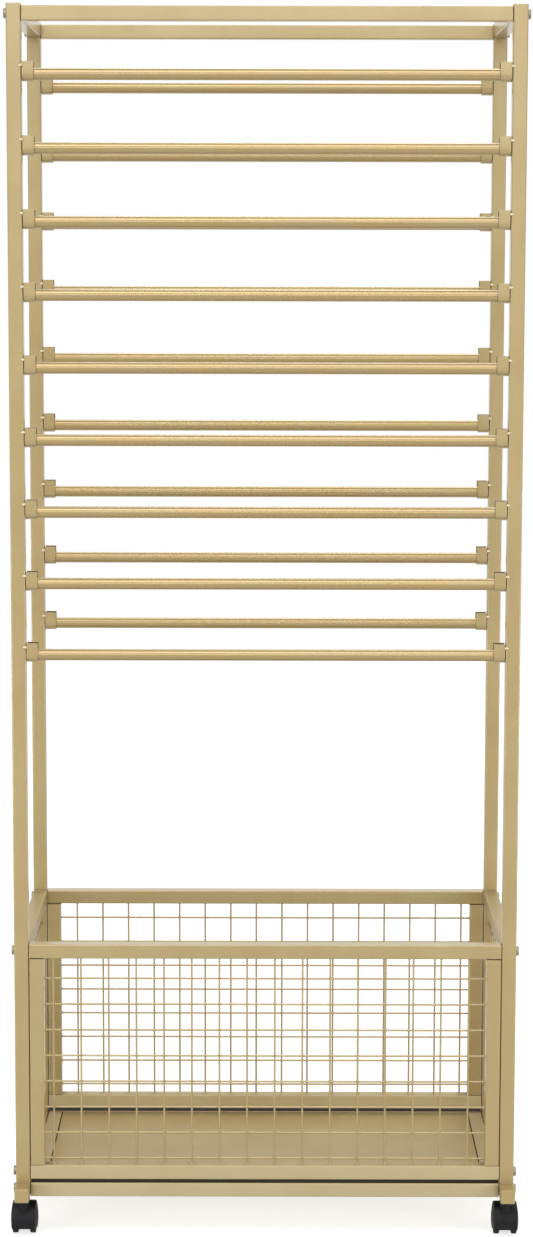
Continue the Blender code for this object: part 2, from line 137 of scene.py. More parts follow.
def powder_coat(
    name, base, deep, flake, roughness, peel_strength,
    metallic=gold_metallic, clear=clear_layer, painted_shade=painted_shade_gold,
):
    """Satin metallic powder coat: flakes, an orange-peel skin, a drift of tone, and painted shade in
    crevices and gaps.
    """
    material, tree, shader, place = new_finish(name)
    tone = grain(tree, place, tone_scale, 2)
    flakes = grain(tree, place, flake_scale, 1)
    peel = grain(tree, place, orange_peel_scale, 2)
    tone_share = spread(tree, tone.outputs["Fac"], *tone_range, 0, 1)
    flake_share = spread(tree, flakes.outputs["Fac"], *flake_range, 0, 1)
    body = blend_colours(tree, tone_share, base, deep)
    coated = blend_colours(tree, flake_share, body, flake)
    # Painted shade: where other surfaces lie close, the colour is darkened toward the shade colour.
    shade_occlusion = tree.nodes.new("ShaderNodeAmbientOcclusion")
    shade_occlusion.samples = painted_shade_samples
    socket_values(shade_occlusion, {"Distance": painted_shade_reach})
    unshaded_share = spread(tree, shade_occlusion.outputs["AO"], *painted_shade_range, 0, 1)
    colour = blend_colours(tree, unshaded_share, painted_shade, coated)
    smoother_flakes = reversed(roughness)
    surface(tree, shader, colour, flakes, smoother_flakes, peel, peel_strength, orange_peel_depth)
    socket_values(shader, {"Metallic": metallic})
    socket_values(shader, {"Coat Weight": clear, "Coat Roughness": clear_roughness})
    return material


gold_coat = powder_coat("satin_gold_coat", gold, gold_deep, gold_flake, gold_roughness, orange_peel)


def rounded_ring(half_x, half_y, radius, height):
    """Points round a rectangle with rounded corners, at one height."""
    ring = []
    for turn, (x_sign, y_sign) in enumerate(((1, 1), (-1, 1), (-1, -1), (1, -1))):
        for step in range(corner_steps + 1):
            angle = math.pi / 2 * (turn + step / corner_steps)
            x = x_sign * (half_x - radius) + radius * math.cos(angle)
            y = y_sign * (half_y - radius) + radius * math.sin(angle)
            ring.append(Vector((x, y, height)))
    return ring


def skin(shape, rings, place, looped=False):
    """Faces between rings of points, capped at both ends or looped back to the first ring."""
    rows = [[shape.verts.new(place @ point) for point in ring] for ring in rings]
    pairs = list(zip(rows, rows[1:]))
    if looped:
        pairs.append((rows[-1], rows[0]))
    for first, second in pairs:
        for k, corner in enumerate(first):
            after = (k + 1) % len(first)
            shape.faces.new((corner, first[after], second[after], second[k]))
    if not looped:
        shape.faces.new(list(reversed(rows[0])))
        shape.faces.new(rows[-1])


def ground_end(length):
    """Rings of a tube's closed end, ground to a quarter round."""
    rings = []
    for step in range(ground_steps + 1):
        angle = math.pi / 2 * step / ground_steps
        inset = ground_edge * (1 - math.cos(angle))
        half = tube_half - inset
        height = length - ground_edge * (1 - math.sin(angle))
        rings.append(rounded_ring(half, half, max(corner_radius - inset, smallest_corner), height))
    return rings


def add_piece(
    name, shape, material, body="frame", stands_for=(), sharp=50, lining=None
):
    """Turn a shape into a piece of the organizer that rides on its body."""
    bmesh.ops.recalc_face_normals(shape, faces=shape.faces)
    mesh = bpy.data.meshes.new(name)
    shape.to_mesh(mesh)
    shape.free()
    mesh.materials.append(material)
    if lining:
        mesh.materials.append(lining)
    mesh.shade_smooth()
    mesh.set_sharp_from_angle(angle=math.radians(sharp))
    piece = bpy.data.objects.new(name, mesh)
    bpy.context.scene.collection.objects.link(piece)
    piece.modifiers.new("Even shading", "WEIGHTED_NORMAL").keep_sharp = True
    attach(piece, body)
    if stands_for:
        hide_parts(*stands_for)


corners = [
    (face, side, y_sign, x_sign)
    for face, y_sign in (("front", -1), ("rear", 1))
    for side, x_sign in (("left", -1), ("right", 1))
]
post_low, post_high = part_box("post_front_left")
post_x = -(post_low.x + tube_half)
post_y = -(post_low.y + post_high.y) / 2
post_bottom = post_low.z
post_length = post_high.z - post_bottom
for face, side, y_sign, x_sign in corners:
    shape = bmesh.new()
    bore = tube_half - tube_wall
    rings = [rounded_ring(bore, bore, bore_corner, post_length - end_plate)]
    rings.append(rounded_ring(bore, bore, bore_corner, 0))
    rings.append(rounded_ring(tube_half, tube_half, corner_radius, 0))
    rings += ground_end(post_length)
    skin(shape, rings, Matrix.Translation((x_sign * post_x, y_sign * post_y, post_bottom)))
    name = "post_" + face + "_" + side
    add_piece(name + "_tube", shape, gold_coat, stands_for=[name])


# Saddles: nine to a post, each a strip of steel bent into a U with its opening at the top, so
# that a rod drops in. Its edge faces the post, and a short bead of weld near the top of each leg,
# at the post's rounded corner, holds it there. The beads are coloured light as a painted
# highlight, and the inside of the U is coloured dark as painted shade.
saddle_wall = 0.0012
saddle_round = 0.00665
saddle_rise = 0.0132
saddle_length = 0.013
saddle_gap = 0.0006
saddle_edge = 0.0003
saddle_steps = 20
saddle_weld_drop = 0.0042
saddle_weld_radius = 0.0016
saddle_weld_on_post = 0.0034
saddle_weld_on_strip = 0.0016
bead_around = 10
bead_blunt_end = 0.02
ripple_pitch = 0.0013
ripple_steps = 5
ripple_height = 0.09
shaded_gold = (0.150, 0.108, 0.045)
shaded_gold_deep = (0.110, 0.079, 0.032)
# Painted highlight: the saddle welds are coloured much lighter than the coat, with no painted shade.
painted_highlight_gold = (0.720, 0.620, 0.400)
painted_highlight_flake = (0.780, 0.690, 0.470)
bead_roughness = (0.20, 0.30)
bead_peel = 0.1
saddle_shade_roughness = (0.55, 0.65)
saddle_shade_peel = 0.1
saddle_shade_metallic = 0.2
# Painted shade: a dark, dull copy of the gold for the inside of each U.
saddle_shade_lining = powder_coat(
    "saddle_inside_painted_shade", shaded_gold, shaded_gold_deep, shaded_gold,
    saddle_shade_roughness, saddle_shade_peel, saddle_shade_metallic,
)
painted_highlight_welds = powder_coat(
    "bead_coat_painted_highlight", painted_highlight_gold, painted_highlight_gold, painted_highlight_flake,
    bead_roughness, bead_peel, painted_shade=painted_highlight_gold,
)


def thick_sheet(shape, outer, inner, place, lined=False):
    """A closed shell between two grids of points, where the inner one may have another finish."""
    skins = []
    for grid in (outer, inner):
        skins.append([[shape.verts.new(place @ point) for point in row] for row in grid])
    last_row, last_column = len(outer) - 1, len(outer[0]) - 1
    for layer, points in enumerate(skins):
        for row in range(last_row):
            for column in range(last_column):
                near, far = points[row], points[row + 1]
                corners_of_face = (near[column], near[column + 1], far[column + 1], far[column])
                face = shape.faces.new(corners_of_face)
                face.material_index = layer if lined else 0
    rim = [(0, column) for column in range(last_column)]
    rim += [(row, last_column) for row in range(last_row)]
    rim += [(last_row, column) for column in range(last_column, 0, -1)]
    rim += [(row, 0) for row in range(last_row, 0, -1)]
    over, under = skins
    for (row, column), (next_row, next_column) in zip(rim, rim[1:] + rim[:1]):
        near = (over[row][column], over[next_row][next_column])
        shape.faces.new((*near, under[next_row][next_column], under[row][column]))


def round_edges(shape, width, steps=2, sharper_than=50):
    """Take the sharpness off every edge that is sharper than an angle."""
    bmesh.ops.recalc_face_normals(shape, faces=shape.faces)
    limit = math.radians(sharper_than)
    edges = [edge for edge in shape.edges if edge.is_manifold and edge.calc_face_angle() > limit]
    bmesh.ops.bevel(
        shape, geom=edges, offset=width, segments=steps, profile=0.5, affect="EDGES",
        clamp_overlap=True,
    )


def circle_ring(radius, height, steps):
    """Points round a circle at one height."""
    ring = []
    for k in range(steps):
        angle = math.tau * k / steps
        ring.append(Vector((radius * math.cos(angle), radius * math.sin(angle), height)))
    return ring


def weld_bead(shape, start, end, radius):
    """A rippled bead of weld from point to point, rounded off at both ends."""
    start, end = Vector(start), Vector(end)
    length = (end - start).length
    turn = (end - start).to_track_quat("Z", "Y").to_matrix().to_4x4()
    ripples = max(2, round(length / ripple_pitch))
    steps = ripples * ripple_steps
    rings = []
    for step in range(steps + 1):
        height = length * step / steps
        from_end = min(height, length - height) / radius
        rounding = math.sqrt(max(1 - (1 - min(from_end, 1)) ** 2, bead_blunt_end))
        ripple = ripple_height * math.sin(math.tau * ripples * step / steps)
        rings.append(circle_ring(radius * rounding * (1 + ripple), height, bead_around))
    skin(shape, rings, Matrix.Translation(start) @ turn)


def saddle_grid(radius):
    """One skin of a saddle: its leg, the round under the rod, and the other leg."""
    outline = [(-radius, saddle_rise), (-radius, saddle_rise / 2)]
    for step in range(saddle_steps + 1):
        angle = math.pi * (1 + step / saddle_steps)
        outline.append((radius * math.cos(angle), radius * math.sin(angle)))
    outline += [(radius, saddle_rise / 2), (radius, saddle_rise)]
    return [[Vector((x, y, z)) for x in (saddle_gap, saddle_length)] for y, z in outline]


rods_per_side = 9
rod_heights = []
for row in range(rods_per_side):
    low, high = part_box("rod_front_" + str(row + 1))
    rod_heights.append((low.z + high.z) / 2)
for face, side, y_sign, x_sign in corners:
    strips = bmesh.new()
    welds = bmesh.new()
    inner_face = x_sign * (post_x - tube_half)
    for height in rod_heights:
        place = Matrix.Translation((inner_face, y_sign * post_y, height))
        place = place @ Matrix.Diagonal((-x_sign, 1, 1, 1))
        outer = saddle_grid(saddle_round + saddle_wall)
        thick_sheet(strips, outer, saddle_grid(saddle_round), place, lined=True)
        weld_height = height + saddle_rise - saddle_weld_drop
        for leg in (-1, 1):
            y = y_sign * post_y + leg * (saddle_round + saddle_wall)
            on_post = (inner_face + x_sign * saddle_weld_on_post, y, weld_height)
            on_strip = (inner_face - x_sign * saddle_weld_on_strip, y, weld_height)
            weld_bead(welds, on_post, on_strip, saddle_weld_radius)
    round_edges(strips, saddle_edge)
    name = face + "_" + side
    add_piece("saddles_" + name, strips, gold_coat, lining=saddle_shade_lining)
    add_piece("saddle_welds_" + name, welds, painted_highlight_welds)


# Side rails: two square tubes on each side, one level with the post tops and one level with the
# rim of the basket. They are cut square and welded between the front and rear posts, and the
# welds show as thin rippled seams. The coat came out drier on the lower rails.
seam_radius = 0.0011
seam_end_gap = 0.0014
seam_sunk = 0.0004
dry_roughness = (0.50, 0.60)
dry_metallic = 0.35
dry_clear_layer = 0.35
half_turn = math.pi / 2
tube_turns = {
    0: Matrix.Rotation(half_turn, 4, "Y"),
    1: Matrix.Rotation(-half_turn, 4, "X"),
    2: Matrix.Identity(4),
}


def open_tube(shape, start, axis, length):
    """Square tube from a point along an axis, cut square at both ends, with its bore."""
    trimmed = tube_half - cut_edge
    bore = tube_half - tube_wall
    rings = [
        rounded_ring(trimmed, trimmed, corner_radius - cut_edge, 0),
        rounded_ring(tube_half, tube_half, corner_radius, cut_edge),
        rounded_ring(tube_half, tube_half, corner_radius, length - cut_edge),
        rounded_ring(trimmed, trimmed, corner_radius - cut_edge, length),
        rounded_ring(bore, bore, bore_corner, length),
        rounded_ring(bore, bore, bore_corner, 0),
    ]
    skin(shape, rings, Matrix.Translation(start) @ tube_turns[axis], looped=True)


def tube_of_node(shape, node, axis, pull=0):
    """Square tube that fills the box of a CAD tube, drawn up to its neighbours by pull."""
    low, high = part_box(node)
    start = (low + high) / 2
    start[axis] = low[axis] - pull
    open_tube(shape, start, axis, high[axis] - low[axis] + 2 * pull)
    return low, high


def seam_round_tube(shape, centre, axis, sides):
    """Welds where a square tube butts against another: one along each named side of its end."""
    reach = tube_half - seam_end_gap
    across = [k for k in range(3) if k != axis]
    for normal_axis, sign in sides:
        along_axis = [k for k in across if k != normal_axis][0]
        start, end = Vector(centre), Vector(centre)
        start[normal_axis] += sign * (tube_half - seam_sunk)
        end[normal_axis] += sign * (tube_half - seam_sunk)
        start[along_axis] -= reach
        end[along_axis] += reach
        weld_bead(shape, start, end, seam_radius)


dry_coat = powder_coat(
    "dry_gold_coat_low_down", gold, gold_deep, gold_flake,
    dry_roughness, orange_peel, dry_metallic, dry_clear_layer,
)
for level, rail_coat in (("top", gold_coat), ("middle", dry_coat)):
    for side, x_sign in (("left", -1), ("right", 1)):
        name = level + "_side_rail_" + side
        shape = bmesh.new()
        low, high = tube_of_node(shape, name, 1)
        add_piece(name + "_tube", shape, rail_coat, stands_for=[name])
        welds = bmesh.new()
        sides = [(0, -x_sign), (2, -1)] if level == "top" else [(0, -x_sign), (2, -1), (2, 1)]
        for y in (low.y, high.y):
            centre = Vector((x_sign * post_x, y, (low.z + high.z) / 2))
            seam_round_tube(welds, centre, 1, sides)
        add_piece(name + "_welds", welds, gold_coat)


# Foot tubes: square tubes that run from front to back under the posts and stand out beyond them.
# Both ends are closed with a plate, ground round. Each post is welded on top of its foot tube,
# and the caster stems are pressed in from below. The coat is as dry as on the lower rails.
foot_weld_lift = 0.0001
for side, x_sign in (("left", -1), ("right", 1)):
    name = "foot_tube_" + side
    low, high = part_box(name)
    length = high.y - low.y
    start = Vector((x_sign * post_x, low.y, (low.z + high.z) / 2))
    shape = bmesh.new()
    rings = []
    for ring in reversed(ground_end(length)):
        rings.append([Vector((point.x, point.y, length - point.z)) for point in ring])
    rings += ground_end(length)
    skin(shape, rings, Matrix.Translation(start) @ tube_turns[1])
    add_piece(name + "_closed", shape, dry_coat, stands_for=[name])
    welds = bmesh.new()
    for y_sign in (-1, 1):
        centre = Vector((x_sign * post_x, y_sign * post_y, high.z + foot_weld_lift))
        seam_round_tube(welds, centre, 2, [(0, -x_sign), (1, -1), (1, 1)])
    add_piece("foot_welds_" + side, welds, gold_coat)


# Side meshes: steel wires that close the left and right sides of the basket. Eight level wires
# lie against eight upright ones and are welded where they cross, and each wire's ends are
# welded to the posts, the foot tube and the middle rail.
wire_radius = 0.0011
wire_around = 12
wire_lap = 0.0008
wire_end = [
    (0, 0.0017), (0.0004, 0.0016), (0.0008, 0.00135), (0.0013, 0.00115), (0.002, wire_radius),
]
mesh_drop = 0.0241
mesh_margins = 0.0302
level_wires = 8
side_upright_wires = 8
wire_peel = 0.06
# Painted shade on the wires goes only as dark as the deeper gold.
wire_coat = powder_coat(
    "wire_gold_coat", gold, gold_deep, gold_flake, gold_roughness, wire_peel, painted_shade=gold_deep
)


def round_wire(shape, start, end):
    """A straight round wire whose ends widen into their welds."""
    start, end = Vector(start), Vector(end)
    length = (end - start).length
    turn = (end - start).to_track_quat("Z", "Y").to_matrix().to_4x4()
    sizes = wire_end + [(length - height, size) for height, size in reversed(wire_end)]
    rings = [circle_ring(size, height, wire_around) for height, size in sizes]
    skin(shape, rings, Matrix.Translation(start) @ turn)


post_faces = post_y - tube_half
foot_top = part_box("foot_tube_left")[1].z
rail_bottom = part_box("middle_side_rail_left")[0].z
panel_low, panel_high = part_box("basket_panel_front")
panel_bottom, panel_top = panel_low.z, panel_high.z
mesh_spread = panel_top - panel_bottom - 4 * tube_half - mesh_margins
wire_pitch_down = mesh_spread / (level_wires - 1)
side_pitch = 2 * post_faces / side_upright_wires
for side, x_sign in (("left", -1), ("right", 1)):
    shape = bmesh.new()
    for k in range(side_upright_wires):
        y = side_pitch * (k - (side_upright_wires - 1) / 2)
        x = x_sign * (post_x + wire_lap)
        round_wire(shape, (x, y, foot_top), (x, y, rail_bottom))
    for k in range(level_wires):
        z = rail_bottom - mesh_drop - k * wire_pitch_down
        x = x_sign * (post_x - wire_lap)
        round_wire(shape, (x, -post_faces, z), (x, post_faces, z))
    name = "side_mesh_" + side
    add_piece(name + "_wires", shape, wire_coat, stands_for=[name])


# Top crossbars: front and rear square tubes bolted between the side frames, a little below the
# post tops. The bolts draw each cut end up to the rounded edge of its post.
drawn_up = 0.00029
for face in ("front", "rear"):
    name = "top_crossbar_" + face
    shape = bmesh.new()
    tube_of_node(shape, name, 0, drawn_up)
    add_piece(name + "_tube", shape, gold_coat, stands_for=[name])


# Basket panels: two square tubes with two shorter ones between them, and a mesh of round wires
# welded inside. The corners are welded from inside and leave a fine seam in front. The bottom
# tube is coloured paler, with almost no gloss: the paler colour is a painted reflection of the
# bright floor. The rear panel is turned round.
stile_seam = 0.0003
stile_gap = 0.0005
first_wire = 0.0101
last_wire = 0.01925
upright_wires = 16
mesh_drops = {"front": mesh_drop, "rear": 0.0183}
corner_weld_radius = 0.0010
corner_weld_gap = 0.0016
base_gold_painted_reflection = (0.560, 0.465, 0.272)
deep_gold_painted_reflection = (0.530, 0.430, 0.245)
flake_gold_painted_reflection = (0.590, 0.500, 0.315)
painted_reflection_metallic = 0.25
painted_reflection_clear_layer = 0.0
painted_reflection_specular = 0.08
slit_painted_shade_reach = 0.014
panel_half = panel_high.x + drawn_up
wire_pitch_across = (2 * panel_half - 4 * tube_half - first_wire - last_wire) / (upright_wires - 1)


def tube_frame(shape, welds, half_length, low_edge, high_edge, plane):
    """Two full tubes along X and two shorter tubes between them, with welds in the corners."""
    inner = tube_half * 2
    for edge in (low_edge + tube_half, high_edge - tube_half):
        open_tube(shape, plane(-half_length, edge), 0, 2 * half_length)
    across = plane(0, 1) - plane(0, 0)
    axis = [k for k in range(3) if abs(across[k]) > 0.5][0]
    stile_length = high_edge - low_edge - 2 * inner - stile_seam - stile_gap
    for x_sign in (-1, 1):
        x = x_sign * (half_length - tube_half)
        open_tube(shape, plane(x, low_edge + inner + stile_seam), axis, stile_length)
        for edge in (low_edge + inner, high_edge - inner):
            corner = plane(x - x_sign * tube_half, edge)
            normal = [k for k in (1, 2) if k != axis][0]
            start, end = Vector(corner), Vector(corner)
            start[normal] -= tube_half - corner_weld_gap
            end[normal] += tube_half - corner_weld_gap
            weld_bead(welds, start, end, corner_weld_radius)


# Painted reflection: a paler, bluer gold stands in for the bright floor the bottom tubes mirror.
painted_reflection_coat = powder_coat(
    "gold_coat_with_painted_floor_reflection", base_gold_painted_reflection, deep_gold_painted_reflection, flake_gold_painted_reflection,
    dry_roughness, orange_peel, painted_reflection_metallic, painted_reflection_clear_layer,
)
painted_reflection_nodes = painted_reflection_coat.node_tree.nodes
socket_values(painted_reflection_nodes["Principled BSDF"], {"Specular IOR Level": painted_reflection_specular})
# Painted shade reaches further on this coat, to darken the slit under each bottom tube.
socket_values(painted_reflection_nodes["Ambient Occlusion"], {"Distance": slit_painted_shade_reach})
bottom_tube_top = panel_bottom + 2 * tube_half + stile_seam / 2
for face, y_sign in (("front", -1), ("rear", 1)):
    shape = bmesh.new()
    welds = bmesh.new()
    tube_frame(
        shape, welds, panel_half, panel_bottom, panel_top,
        lambda x, z: Vector((x, y_sign * post_y, z)),
    )
    for tube_face in shape.faces:
        tube_face.material_index = int(tube_face.calc_center_median().z < bottom_tube_top)
    name = "basket_panel_" + face
    add_piece(name + "_frame", shape, gold_coat, stands_for=[name], lining=painted_reflection_coat)
    add_piece(name + "_welds", welds, gold_coat)
    wires = bmesh.new()
    for k in range(upright_wires):
        x = -y_sign * (-panel_half + 2 * tube_half + first_wire + k * wire_pitch_across)
        y = y_sign * (post_y + wire_lap)
        round_wire(wires, (x, y, panel_bottom + 2 * tube_half), (x, y, panel_top - 2 * tube_half))
    reach = panel_half - 2 * tube_half
    for k in range(level_wires):
        z = panel_top - 2 * tube_half - mesh_drops[face] - k * wire_pitch_down
        y = y_sign * (post_y - wire_lap)
        round_wire(wires, (-reach, y, z), (reach, y, z))
    add_piece(name + "_wires", wires, wire_coat)


# Basket floor: a frame of the same square tube with the same painted floor reflection, bolted
# between the foot tubes, and a sheet of steel let into it. The sheet's four edges are bent down,
# so a narrow dark line runs all round between the sheet and the tubes.
sheet_wall = 0.0008
sheet_bend = 0.0012
sheet_corner = 0.0015
sheet_smallest_corner = 0.0003
sheet_roughness = (0.44, 0.54)
sheet_clear_layer = 0.2
bend_steps = 4
floor_low, floor_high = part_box("floor_frame")
floor_height = (floor_low.z + floor_high.z) / 2
shape = bmesh.new()
welds = bmesh.new()
tube_frame(
    shape, welds, floor_high.x + drawn_up, floor_low.y, floor_high.y,
    lambda x, y: Vector((x, y, floor_height)),
)
add_piece("floor_frame_tubes", shape, painted_reflection_coat, stands_for=["floor_frame"])
add_piece("floor_frame_welds", welds, gold_coat)
sheet_low, sheet_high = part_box("floor_sheet")


def bent_edge(half_x, half_y, top, bend):
    """Rings of a sheet's bend, from the upright edge to the flat."""
    rings = []
    for step in range(bend_steps + 1):
        angle = math.pi / 2 * step / bend_steps
        inset = bend * (1 - math.cos(angle))
        height = top - bend * (1 - math.sin(angle))
        corner = max(sheet_corner - inset, sheet_smallest_corner)
        rings.append(rounded_ring(half_x - inset, half_y - inset, corner, height))
    return rings


shape = bmesh.new()
under_x, under_y = sheet_high.x - sheet_wall, sheet_high.y - sheet_wall
under_edge = bent_edge(under_x, under_y, sheet_high.z - sheet_wall, sheet_bend - sheet_wall)
rings = list(reversed(under_edge))
rings.append(rounded_ring(under_x, under_y, sheet_corner - sheet_wall, sheet_low.z))
rings.append(rounded_ring(sheet_high.x, sheet_high.y, sheet_corner, sheet_low.z))
rings += bent_edge(sheet_high.x, sheet_high.y, sheet_high.z, sheet_bend)
skin(shape, rings, Matrix.Identity(4))
sheet_coat = powder_coat(
    "sheet_gold_coat", gold, gold_deep, gold_flake,
    sheet_roughness, orange_peel, clear=sheet_clear_layer,
)
add_piece("floor_sheet_bent", shape, sheet_coat, stands_for=["floor_sheet"])


# Bolts: sixteen pan-head screws through the posts and foot tubes that hold the crossbars,
# the basket panels and the floor frame between the two sides. Zinc-plated steel, with a
# hexagon socket in each head.
bolt_radius = 0.0053
bolt_height = 0.0030
bolt_rounding = 0.0007
bolt_rounding_steps = 6
bolt_foot = 0.95
bolt_foot_height = 0.0002
bolt_flat = 0.50
socket_half = 0.0016
socket_depth = 0.0016
socket_lip = 0.00015
socket_lip_depth = 0.0002
turned_steps = 36
turned_sharp = 35
zinc = (0.31, 0.275, 0.19)
zinc_dark = (0.21, 0.185, 0.125)
zinc_metallic = 0.9
zinc_roughness = (0.28, 0.42)
zinc_cloud_scale = 700
turning_mark_scale = 4000
turning_mark_strength = 0.2
turning_mark_depth = 0.00003


def plated_steel(name, light, dark):
    """Zinc-plated steel: cloudy grey metal with fine turning marks."""
    material, tree, shader, place = new_finish(name)
    cloud = grain(tree, place, zinc_cloud_scale, 4)
    fine = grain(tree, place, turning_mark_scale, 2)
    share = spread(tree, cloud.outputs["Fac"], *tone_range, 0, 1)
    colour = blend_colours(tree, share, light, dark)
    surface(
        tree, shader, colour, fine, zinc_roughness, fine, turning_mark_strength, turning_mark_depth
    )
    socket_values(shader, {"Metallic": zinc_metallic})
    return material


zinc_steel = plated_steel("zinc_plated_steel", zinc, zinc_dark)


def hexagon_ring(half, height):
    """As many points as a circle has, moved in to the sides of a hexagon."""
    ring = []
    for k in range(turned_steps):
        angle = math.tau * k / turned_steps
        radius = half / math.cos(angle % (math.pi / 3) - math.pi / 6)
        ring.append(Vector((radius * math.cos(angle), radius * math.sin(angle), height)))
    return ring


def pan_head(shape, place):
    """A pan head with a hexagon socket, standing on Z = 0."""
    profile = [(bolt_radius * bolt_foot, 0), (bolt_radius, bolt_foot_height)]
    for step in range(bolt_rounding_steps + 1):
        angle = math.pi / 2 * step / bolt_rounding_steps
        radius = bolt_radius - bolt_rounding * (1 - math.cos(angle))
        profile.append((radius, bolt_height - bolt_rounding * (1 - math.sin(angle))))
    profile.append((bolt_radius * bolt_flat, bolt_height))
    rings = [circle_ring(radius, height, turned_steps) for radius, height in profile]
    rings.append(hexagon_ring(socket_half + socket_lip, bolt_height))
    rings.append(hexagon_ring(socket_half, bolt_height - socket_lip_depth))
    rings.append(hexagon_ring(socket_half, bolt_height - socket_depth))
    skin(shape, rings, place)


crossbar_low, crossbar_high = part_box("top_crossbar_front")
bolt_heights = {
    "crossbar": (crossbar_low.z + crossbar_high.z) / 2,
    "panel_top": panel_top - tube_half,
    "panel_bottom": panel_bottom + tube_half,
    "floor": floor_height,
}
for use, height in bolt_heights.items():
    for face, side, y_sign, x_sign in corners:
        shape = bmesh.new()
        outward = Matrix.Rotation(x_sign * half_turn, 4, "Y")
        seat = Vector((x_sign * (post_x + tube_half), y_sign * post_y, height))
        pan_head(shape, Matrix.Translation(seat) @ outward)
        name = "bolt_" + use + "_" + face + "_" + side
        add_piece(name, shape, zinc_steel, sharp=turned_sharp)


# Rods: eighteen round steel tubes, half an inch thick, from one side frame to the other. They
# are only laid in their saddles, so each lifts straight out. The coat is satin gold, a little
# smoother and more metallic on the drawn tube, and coloured darker than the frame's gold as
# painted shade for the rods' darker undersides.
rod_wall = 0.0008
# Painted shade: the rods' gold is darker than the frame's, for their darker undersides.
rod_base_painted_darker = (0.385, 0.285, 0.118)
rod_deep_painted_darker = (0.396, 0.278, 0.102)
rod_flake_painted_darker = (0.480, 0.370, 0.172)
rod_roughness = (0.34, 0.42)
rod_peel = 0.02
rod_metallic = 0.65
rod_around = 48
painted_darker_tube_coat = powder_coat(
    "smooth_gold_painted_darker", rod_base_painted_darker, rod_deep_painted_darker, rod_flake_painted_darker,
    rod_roughness, rod_peel, rod_metallic,
)


def round_tube(shape, place, radius, wall, length):
    """A round tube along Z with its bore and slightly rounded cut edges."""
    profile = [
        (radius - cut_edge, 0), (radius, cut_edge), (radius, length - cut_edge),
        (radius - cut_edge, length), (radius - wall, length), (radius - wall, 0),
    ]
    rings = [circle_ring(size, height, rod_around) for size, height in profile]
    skin(shape, rings, place, looped=True)


for face, y_sign in (("front", -1), ("rear", 1)):
    for row in range(rods_per_side):
        name = "rod_" + face + "_" + str(row + 1)
        low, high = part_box(name)
        rod_radius = (high.z - low.z) / 2
        shape = bmesh.new()
        start = Vector((low.x, y_sign * post_y, rod_heights[row]))
        place = Matrix.Translation(start) @ tube_turns[0]
        round_tube(shape, place, rod_radius, rod_wall, high.x - low.x)
        add_piece(name + "_tube", shape, painted_darker_tube_coat, body=name, stands_for=[name])


# Casters: four small twin-wheel casters. A steel stem with a flange is pressed into the foot
# tube. A moulded charcoal hood turns on it: a barrel over both wheels, with a web between them
# that holds the axle, round windows in its cheeks, and open below and behind.
hub_height = 0.0171
hood_radius = 0.0193
hood_wall = 0.0016
hood_cheek_wall = 0.0006
hood_shoulder = (0.0120, 0.0132)
hood_front_edge = 0.0087
hood_rear_edge = 0.0255
hood_edge = 0.0004
hood_sharp = 55
hood_profile_half = [
    (hood_radius, 0.0), (hood_radius, 0.0045), (hood_radius, 0.0085), (0.01928, 0.0112),
    (0.01918, 0.0121), (0.01892, 0.01268), (0.01848, 0.01302), (0.0179, 0.01322),
    (0.0171, 0.0134), (0.0156, 0.01368), (0.0140, 0.01399), (0.0126, 0.01423),
    (0.0118, 0.01435),
]
hood_steps = 40
web_half = 0.0062
web_radius = 0.0186
web_rear = 0.0150
boss_radius = 0.0068
wheel_radius = 0.0171
wheel_inner = 0.0068
tread_width = 0.0060
cap_radius = 0.0114
cap_face = 0.01525
axle_radius = 0.002
axle_chamfer = 0.0003
axle_clearance = 0.0004
axle_steps = 56
charcoal = (0.008, 0.008, 0.010)
charcoal_light = (0.013, 0.013, 0.015)
tyre_black = (0.006, 0.006, 0.007)
tyre_grey = (0.011, 0.011, 0.012)
hood_roughness = (0.42, 0.58)
hood_texture_scale = 2600
tyre_roughness = (0.55, 0.72)
tyre_texture_scale = 1900
texture_strength = 0.35
texture_depth = 0.00005
scuff_scale = 160
scuff_range = (0.42, 0.68)
plastic_specular = 0.22
moulded_sharp = 40


def moulded_plastic(name, dark, light, roughness, texture_scale):
    """Moulded plastic with a fine spark-eroded texture and faint scuffs."""
    material, tree, shader, place = new_finish(name)
    scuffs = grain(tree, place, scuff_scale, 5)
    texture = grain(tree, place, texture_scale, 3)
    share = spread(tree, scuffs.outputs["Fac"], *scuff_range, 0, 1)
    colour = blend_colours(tree, share, dark, light)
    surface(tree, shader, colour, texture, roughness, texture, texture_strength, texture_depth)
    socket_values(shader, {"Specular IOR Level": plastic_specular})
    return material


charcoal_plastic = moulded_plastic(
    "charcoal_hood_plastic", charcoal, charcoal_light, hood_roughness, hood_texture_scale
)
tyre_plastic = moulded_plastic(
    "black_tread_plastic", tyre_black, tyre_grey, tyre_roughness, tyre_texture_scale
)


def hood_skin(inner):
    """One skin of the hood about the axle, from the front edge over the top to the rear edge."""
    profile = [(radius, -x) for radius, x in reversed(hood_profile_half[1:])] + hood_profile_half
    grid = []
    for radius, x in profile:
        side_share = (abs(x) - hood_shoulder[0]) / (hood_shoulder[1] - hood_shoulder[0])
        side_share = min(max(side_share, 0), 1)
        round_radius = radius - (1 - side_share) * (hood_wall if inner else 0)
        depth = x - math.copysign(side_share * (hood_cheek_wall if inner else 0), x)
        start = math.asin((hood_front_edge - hub_height) / round_radius)
        end = math.pi - math.asin((hood_rear_edge - hub_height) / round_radius)
        row = []
        for step in range(hood_steps + 1):
            angle = start + (end - start) * step / hood_steps
            y, z = -round_radius * math.cos(angle), round_radius * math.sin(angle)
            row.append(Vector((depth, y, z)))
        grid.append(row)
    return grid


